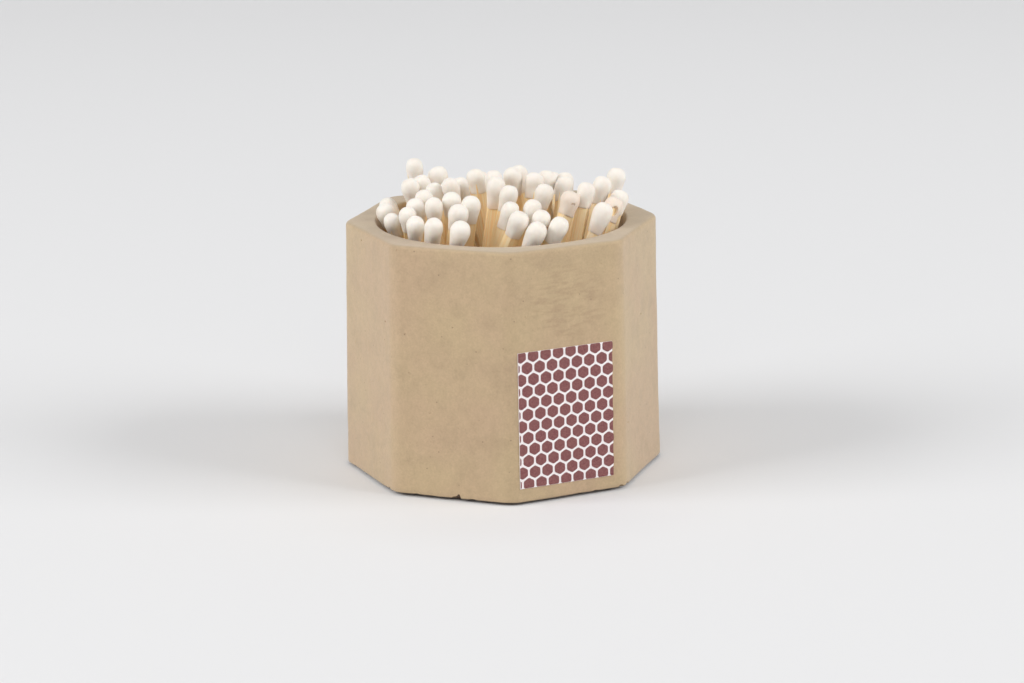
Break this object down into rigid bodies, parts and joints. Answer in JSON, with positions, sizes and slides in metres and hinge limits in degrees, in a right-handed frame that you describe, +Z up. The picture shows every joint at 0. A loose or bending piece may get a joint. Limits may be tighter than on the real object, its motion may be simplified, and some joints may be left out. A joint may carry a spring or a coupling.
{
  "type": "match striker",
  "caption": "Octagonal cast concrete pot with a round well that holds loose wooden matches, and a dotted paper striking label on one face.",
  "frame": {"origin": "the middle of the pot's flat underside, on the surface that it stands on", "axes": "+Z up along the pot's axis; the face with the striking label looks along -Y; +X to the right of the label"},
  "size_m": [0.0532, 0.0537, 0.0533],
  "materials": {
    "concrete": "matt, mottled",
    "label": "white paper with raised dull maroon dots",
    "match": "plain splint with a white dipped head"
  },
  "bodies": {
    "pot": {"pot": "concrete", "strike_label": "label"},
    "match_01": {"match_01": "match"},
    "match_02": {"match_02": "match"},
    "match_03": {"match_03": "match"},
    "match_04": {"match_04": "match"},
    "match_05": {"match_05": "match"},
    "match_06": {"match_06": "match"},
    "match_07": {"match_07": "match"},
    "match_08": {"match_08": "match"},
    "match_09": {"match_09": "match"},
    "match_10": {"match_10": "match"},
    "match_11": {"match_11": "match"},
    "match_12": {"match_12": "match"},
    "match_13": {"match_13": "match"},
    "match_14": {"match_14": "match"},
    "match_15": {"match_15": "match"},
    "match_16": {"match_16": "match"},
    "match_17": {"match_17": "match"},
    "match_18": {"match_18": "match"},
    "match_19": {"match_19": "match"},
    "match_20": {"match_20": "match"},
    "match_21": {"match_21": "match"},
    "match_22": {"match_22": "match"},
    "match_23": {"match_23": "match"},
    "match_24": {"match_24": "match"},
    "match_25": {"match_25": "match"},
    "match_26": {"match_26": "match"},
    "match_27": {"match_27": "match"},
    "match_28": {"match_28": "match"},
    "match_29": {"match_29": "match"},
    "match_30": {"match_30": "match"},
    "match_31": {"match_31": "match"},
    "match_32": {"match_32": "match"},
    "match_33": {"match_33": "match"},
    "match_34": {"match_34": "match"},
    "match_35": {"match_35": "match"},
    "match_36": {"match_36": "match"},
    "match_37": {"match_37": "match"},
    "match_38": {"match_38": "match"},
    "match_39": {"match_39": "match"},
    "match_40": {"match_40": "match"},
    "match_41": {"match_41": "match"},
    "match_42": {"match_42": "match"},
    "match_43": {"match_43": "match"},
    "match_44": {"match_44": "match"},
    "match_45": {"match_45": "match"},
    "match_46": {"match_46": "match"},
    "match_47": {"match_47": "match"},
    "match_48": {"match_48": "match"},
    "match_49": {"match_49": "match"},
    "match_50": {"match_50": "match"}
  },
  "joints": [
    {"name": "match_01_lift", "type": "slide", "parent": "pot", "child": "match_01", "axis": [-0.3767, -0.323, 0.8682], "range_m": [0, 0.06]},
    {"name": "match_02_lift", "type": "slide", "parent": "pot", "child": "match_02", "axis": [-0.1486, -0.4243, 0.8933], "range_m": [0, 0.06]},
    {"name": "match_03_lift", "type": "slide", "parent": "pot", "child": "match_03", "axis": [-0.0664, -0.4333, 0.8988], "range_m": [0, 0.06]},
    {"name": "match_04_lift", "type": "slide", "parent": "pot", "child": "match_04", "axis": [0.0437, -0.4463, 0.8938], "range_m": [0, 0.06]},
    {"name": "match_05_lift", "type": "slide", "parent": "pot", "child": "match_05", "axis": [0.2569, -0.3205, 0.9117], "range_m": [0, 0.06]},
    {"name": "match_06_lift", "type": "slide", "parent": "pot", "child": "match_06", "axis": [0.3259, -0.3313, 0.8855], "range_m": [0, 0.06]},
    {"name": "match_07_lift", "type": "slide", "parent": "pot", "child": "match_07", "axis": [0.3626, -0.2613, 0.8946], "range_m": [0, 0.06]},
    {"name": "match_08_lift", "type": "slide", "parent": "pot", "child": "match_08", "axis": [0.4184, -0.0213, 0.908], "range_m": [0, 0.06]},
    {"name": "match_09_lift", "type": "slide", "parent": "pot", "child": "match_09", "axis": [0.401, 0.0709, 0.9133], "range_m": [0, 0.06]},
    {"name": "match_10_lift", "type": "slide", "parent": "pot", "child": "match_10", "axis": [0.3689, 0.1448, 0.9181], "range_m": [0, 0.06]},
    {"name": "match_11_lift", "type": "slide", "parent": "pot", "child": "match_11", "axis": [-0.4231, -0.22, 0.879], "range_m": [0, 0.06]},
    {"name": "match_12_lift", "type": "slide", "parent": "pot", "child": "match_12", "axis": [-0.2373, -0.3412, 0.9095], "range_m": [0, 0.06]},
    {"name": "match_13_lift", "type": "slide", "parent": "pot", "child": "match_13", "axis": [-0.2778, -0.2604, 0.9247], "range_m": [0, 0.06]},
    {"name": "match_14_lift", "type": "slide", "parent": "pot", "child": "match_14", "axis": [-0.1515, -0.2977, 0.9426], "range_m": [0, 0.06]},
    {"name": "match_15_lift", "type": "slide", "parent": "pot", "child": "match_15", "axis": [-0.0095, -0.3623, 0.932], "range_m": [0, 0.06]},
    {"name": "match_16_lift", "type": "slide", "parent": "pot", "child": "match_16", "axis": [-0.0096, -0.3024, 0.9531], "range_m": [0, 0.06]},
    {"name": "match_17_lift", "type": "slide", "parent": "pot", "child": "match_17", "axis": [0.1652, -0.1776, 0.9701], "range_m": [0, 0.06]},
    {"name": "match_18_lift", "type": "slide", "parent": "pot", "child": "match_18", "axis": [0.2355, -0.2498, 0.9392], "range_m": [0, 0.06]},
    {"name": "match_19_lift", "type": "slide", "parent": "pot", "child": "match_19", "axis": [0.2918, -0.2753, 0.916], "range_m": [0, 0.06]},
    {"name": "match_20_lift", "type": "slide", "parent": "pot", "child": "match_20", "axis": [0.33, -0.0225, 0.9437], "range_m": [0, 0.06]},
    {"name": "match_21_lift", "type": "slide", "parent": "pot", "child": "match_21", "axis": [0.2597, 0.0696, 0.9632], "range_m": [0, 0.06]},
    {"name": "match_22_lift", "type": "slide", "parent": "pot", "child": "match_22", "axis": [-0.3035, -0.1413, 0.9423], "range_m": [0, 0.06]},
    {"name": "match_23_lift", "type": "slide", "parent": "pot", "child": "match_23", "axis": [-0.3271, -0.0779, 0.9418], "range_m": [0, 0.06]},
    {"name": "match_24_lift", "type": "slide", "parent": "pot", "child": "match_24", "axis": [-0.1411, -0.2675, 0.9532], "range_m": [0, 0.06]},
    {"name": "match_25_lift", "type": "slide", "parent": "pot", "child": "match_25", "axis": [-0.2302, -0.054, 0.9716], "range_m": [0, 0.06]},
    {"name": "match_26_lift", "type": "slide", "parent": "pot", "child": "match_26", "axis": [-0.1522, 0.0449, 0.9873], "range_m": [0, 0.06]},
    {"name": "match_27_lift", "type": "slide", "parent": "pot", "child": "match_27", "axis": [-0.0407, -0.0023, 0.9992], "range_m": [0, 0.06]},
    {"name": "match_28_lift", "type": "slide", "parent": "pot", "child": "match_28", "axis": [0.1836, -0.3012, 0.9357], "range_m": [0, 0.06]},
    {"name": "match_29_lift", "type": "slide", "parent": "pot", "child": "match_29", "axis": [0.0885, -0.1317, 0.9873], "range_m": [0, 0.06]},
    {"name": "match_30_lift", "type": "slide", "parent": "pot", "child": "match_30", "axis": [0.2067, 0.0796, 0.9752], "range_m": [0, 0.06]},
    {"name": "match_31_lift", "type": "slide", "parent": "pot", "child": "match_31", "axis": [0.2992, 0.0188, 0.954], "range_m": [0, 0.06]},
    {"name": "match_32_lift", "type": "slide", "parent": "pot", "child": "match_32", "axis": [0.2087, 0.2054, 0.9562], "range_m": [0, 0.06]},
    {"name": "match_33_lift", "type": "slide", "parent": "pot", "child": "match_33", "axis": [0.2588, 0.2372, 0.9363], "range_m": [0, 0.06]},
    {"name": "match_34_lift", "type": "slide", "parent": "pot", "child": "match_34", "axis": [0.4142, 0.1928, 0.8895], "range_m": [0, 0.06]},
    {"name": "match_35_lift", "type": "slide", "parent": "pot", "child": "match_35", "axis": [-0.465, -0.1157, 0.8777], "range_m": [0, 0.06]},
    {"name": "match_36_lift", "type": "slide", "parent": "pot", "child": "match_36", "axis": [-0.2817, -0.0631, 0.9574], "range_m": [0, 0.06]},
    {"name": "match_37_lift", "type": "slide", "parent": "pot", "child": "match_37", "axis": [-0.2864, -0.0277, 0.9577], "range_m": [0, 0.06]},
    {"name": "match_38_lift", "type": "slide", "parent": "pot", "child": "match_38", "axis": [-0.0333, 0.0263, 0.9991], "range_m": [0, 0.06]},
    {"name": "match_39_lift", "type": "slide", "parent": "pot", "child": "match_39", "axis": [-0.2501, 0.013, 0.9681], "range_m": [0, 0.06]},
    {"name": "match_40_lift", "type": "slide", "parent": "pot", "child": "match_40", "axis": [-0.3221, 0.1462, 0.9353], "range_m": [0, 0.06]},
    {"name": "match_41_lift", "type": "slide", "parent": "pot", "child": "match_41", "axis": [-0.3566, 0.0359, 0.9336], "range_m": [0, 0.06]},
    {"name": "match_42_lift", "type": "slide", "parent": "pot", "child": "match_42", "axis": [-0.2876, 0.1315, 0.9487], "range_m": [0, 0.06]},
    {"name": "match_43_lift", "type": "slide", "parent": "pot", "child": "match_43", "axis": [-0.305, 0.193, 0.9326], "range_m": [0, 0.06]},
    {"name": "match_44_lift", "type": "slide", "parent": "pot", "child": "match_44", "axis": [-0.3312, -0.0295, 0.9431], "range_m": [0, 0.06]},
    {"name": "match_45_lift", "type": "slide", "parent": "pot", "child": "match_45", "axis": [-0.0708, -0.081, 0.9942], "range_m": [0, 0.06]},
    {"name": "match_46_lift", "type": "slide", "parent": "pot", "child": "match_46", "axis": [-0.1696, 0.1372, 0.9759], "range_m": [0, 0.06]},
    {"name": "match_47_lift", "type": "slide", "parent": "pot", "child": "match_47", "axis": [0.1159, 0.3351, 0.935], "range_m": [0, 0.06]},
    {"name": "match_48_lift", "type": "slide", "parent": "pot", "child": "match_48", "axis": [-0.0023, 0.428, 0.9038], "range_m": [0, 0.06]},
    {"name": "match_49_lift", "type": "slide", "parent": "pot", "child": "match_49", "axis": [0.2463, -0.0121, 0.9691], "range_m": [0, 0.06]},
    {"name": "match_50_lift", "type": "slide", "parent": "pot", "child": "match_50", "axis": [0.1828, 0.0319, 0.9826], "range_m": [0, 0.06]}
  ]
}
